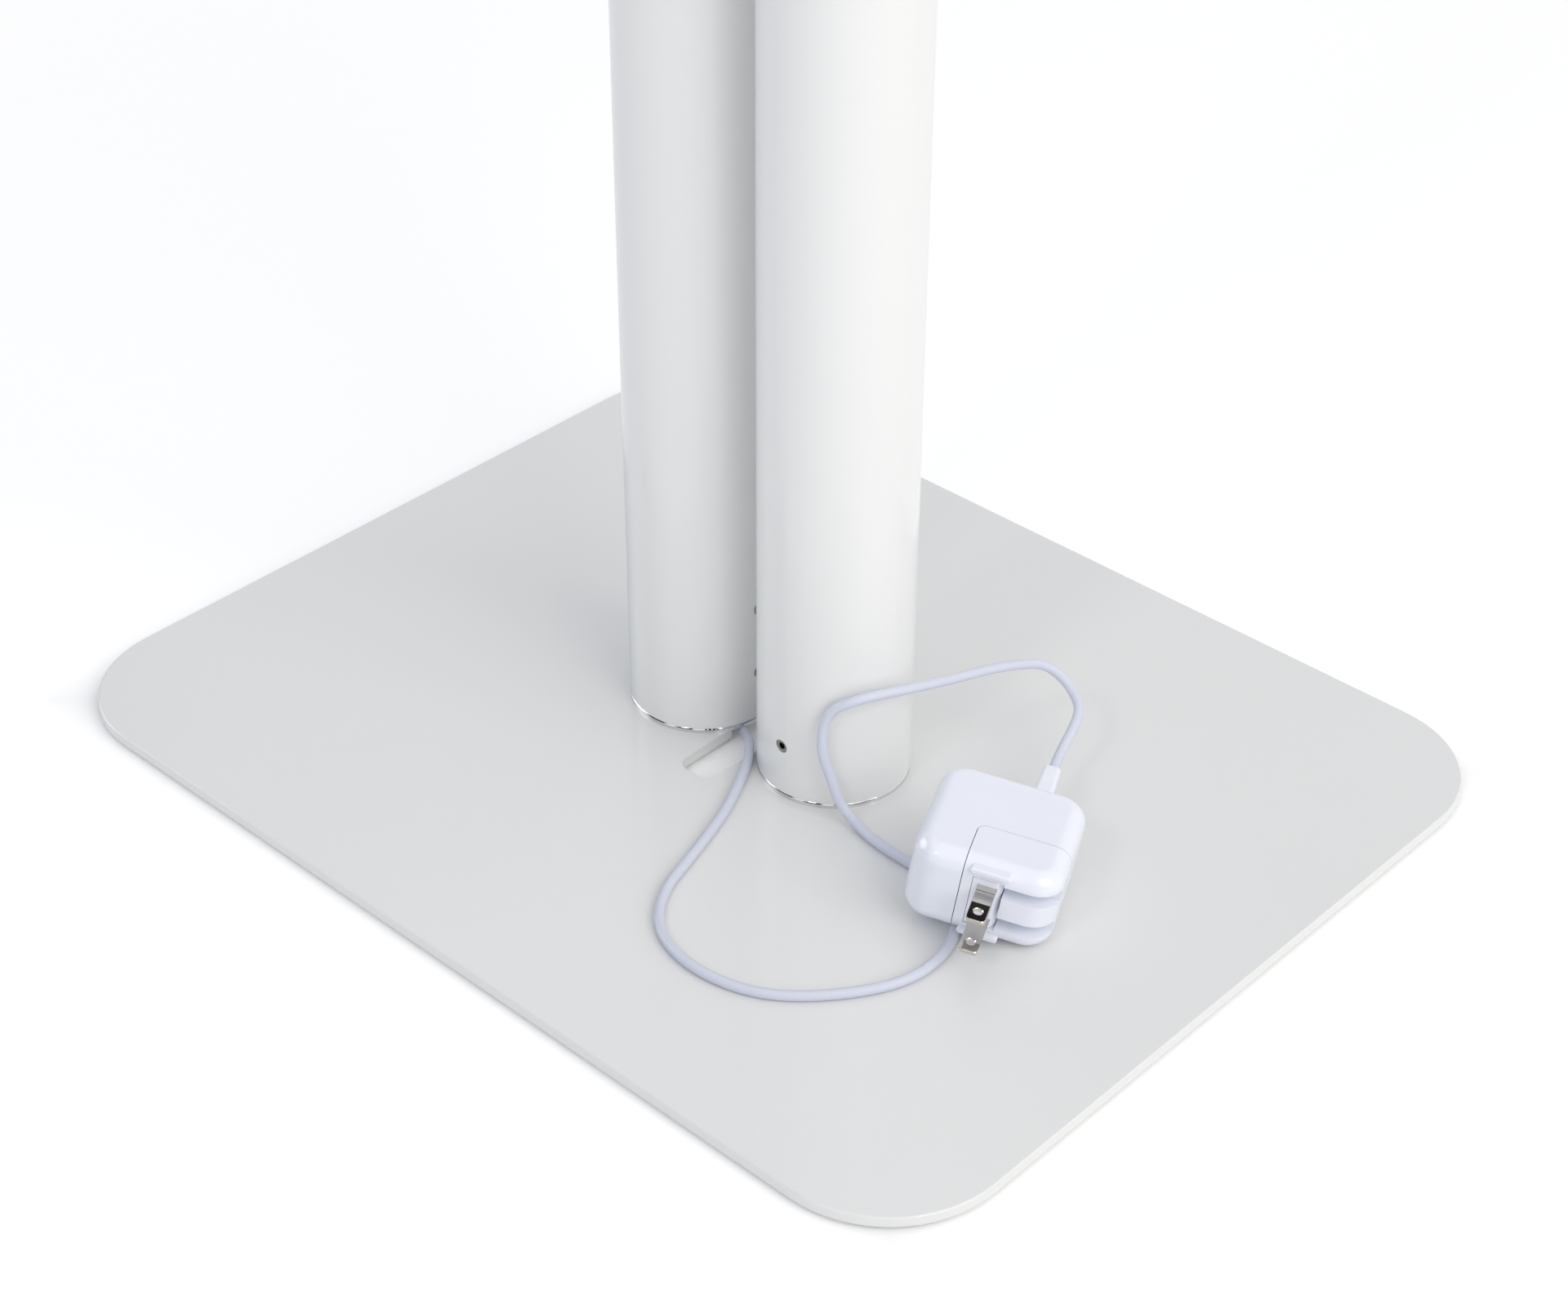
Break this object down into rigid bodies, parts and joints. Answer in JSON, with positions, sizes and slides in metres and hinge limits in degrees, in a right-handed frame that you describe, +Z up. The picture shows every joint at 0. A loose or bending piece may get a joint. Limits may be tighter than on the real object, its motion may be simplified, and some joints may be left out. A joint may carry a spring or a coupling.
{
  "type": "tablet floor stand",
  "caption": "White floor stand for a tablet: sheet base plate, twin round posts, telescoping mast, tilting and turning lidded holder, charging cord with mains charger.",
  "frame": {"origin": "on the floor under the middle of the base plate", "axes": "+X along the plate's long side, towards the charger; +Y to the back, the tablet faces -Y; +Z up"},
  "size_m": [0.4, 0.3174, 0.8734],
  "materials": {
    "white_paint": "gloss powder coat",
    "polished_plug": "polished",
    "mast_tube": "satin anodised",
    "spindle_steel": "turned",
    "black_screw": "black oxide",
    "bright_steel": "bright zinc",
    "black_rubber": "matt",
    "grey_foam": "foam",
    "black_nylon": "moulded nylon",
    "grey_knob": "fine grain",
    "white_plastic": "satin",
    "cord_sheath": "smooth sheath",
    "charger_white": "gloss",
    "blade_nickel": "bright nickel",
    "contact_brass": "bright",
    "board_green": "solder mask",
    "transformer_tape": "tape",
    "capacitor_can": "sleeved",
    "magnet_nickel": "nickel"
  },
  "bodies": {
    "stand": {"foot_pads": "black_rubber", "base_plate": "white_paint", "plug_screws": "black_screw", "left_post_plug": "polished_plug", "right_post_plug": "polished_plug", "left_post_tube": "white_paint", "right_post_tube": "white_paint", "post_set_screws": "black_screw", "left_guide_bush": "black_nylon", "right_guide_bush": "black_nylon", "post_yoke": "white_paint", "yoke_set_screws": "black_screw", "foot_cable": "cord_sheath", "post_cable": "cord_sheath", "charging_cord": "cord_sheath", "usb_grip": "charger_white", "usb_shell": "blade_nickel", "charger_upper_shell": "charger_white", "charger_lower_shell": "charger_white", "plug_module": "charger_white", "contact_pins": "contact_brass", "charger_board": "board_green", "transformer": "transformer_tape", "capacitor": "capacitor_can", "usb_socket": "blade_nickel"},
    "charger_blades": {"plug_blades": "blade_nickel", "blade_carrier": "charger_white"},
    "height_knob": {"height_screw": "bright_steel", "height_knob": "grey_knob"},
    "clamp_shoe": {"clamp_shoe": "black_nylon"},
    "mast": {"left_inner_tube": "mast_tube", "right_inner_tube": "mast_tube", "left_glide": "black_nylon", "right_glide": "black_nylon", "head_block": "white_paint", "head_grommet": "black_rubber", "head_set_screws": "black_screw", "head_cable": "cord_sheath", "tilt_bolt": "bright_steel", "tilt_cable": "cord_sheath"},
    "tilt_knob": {"tilt_stud": "bright_steel", "tilt_knob": "grey_knob"},
    "tilt_arm": {"tilt_bracket": "white_paint", "tilt_washers": "black_nylon", "turn_washer": "black_nylon", "hub_cable": "cord_sheath"},
    "holder": {"spindle": "spindle_steel", "spindle_ring": "bright_steel", "hub_screws": "bright_steel", "holder_tray": "white_plastic", "back_pads": "grey_foam", "tablet_stops": "black_rubber", "holder_cable": "cord_sheath", "tablet_plug": "charger_white", "tablet_plug_tip": "blade_nickel", "hinge_pins": "bright_steel", "tray_magnets": "magnet_nickel"},
    "bezel": {"front_bezel": "white_plastic", "window_gasket": "black_rubber", "bezel_magnets": "magnet_nickel"}
  },
  "joints": [
    {"name": "height_slide", "type": "slide", "parent": "stand", "child": "mast", "axis": [0, 0, 1], "range_m": [0, 0.25], "deforming": ["post_cable"]},
    {"name": "height_knob_turn", "type": "hinge", "parent": "stand", "child": "height_knob", "pos_m": [0, 0.0411, 0.6614], "axis": [0, 1, 0], "range_deg": [0, 540]},
    {"name": "clamp_slide", "type": "slide", "parent": "stand", "child": "clamp_shoe", "axis": [0, -1, 0], "range_m": [0, 0.002]},
    {"name": "tilt", "type": "hinge", "parent": "mast", "child": "tilt_arm", "pos_m": [0, 0, 0.7714], "axis": [-1, 0, 0], "range_deg": [0, 90], "deforming": ["tilt_cable"]},
    {"name": "tilt_knob_turn", "type": "hinge", "parent": "mast", "child": "tilt_knob", "pos_m": [0.028, 0, 0.7714], "axis": [1, 0, 0], "range_deg": [0, 180]},
    {"name": "holder_turn", "type": "hinge", "parent": "tilt_arm", "child": "holder", "pos_m": [0, -0.037, 0.7714], "axis": [0, 1, 0], "range_deg": [0, 90]},
    {"name": "bezel_hinge", "type": "hinge", "parent": "holder", "child": "bezel", "pos_m": [0, -0.056, 0.6659], "axis": [1, 0, 0], "range_deg": [0, 100]},
    {"name": "blade_fold", "type": "hinge", "parent": "stand", "child": "charger_blades", "pos_m": [0.12813, -0.03604, 0.02341], "axis": [0.1166, 0.0779, 0.9901], "range_deg": [0, 90]}
  ],
  "couplings": [
    {"joint": "clamp_slide", "follows": "height_knob_turn", "m_per_rad": 0.00019894}
  ]
}
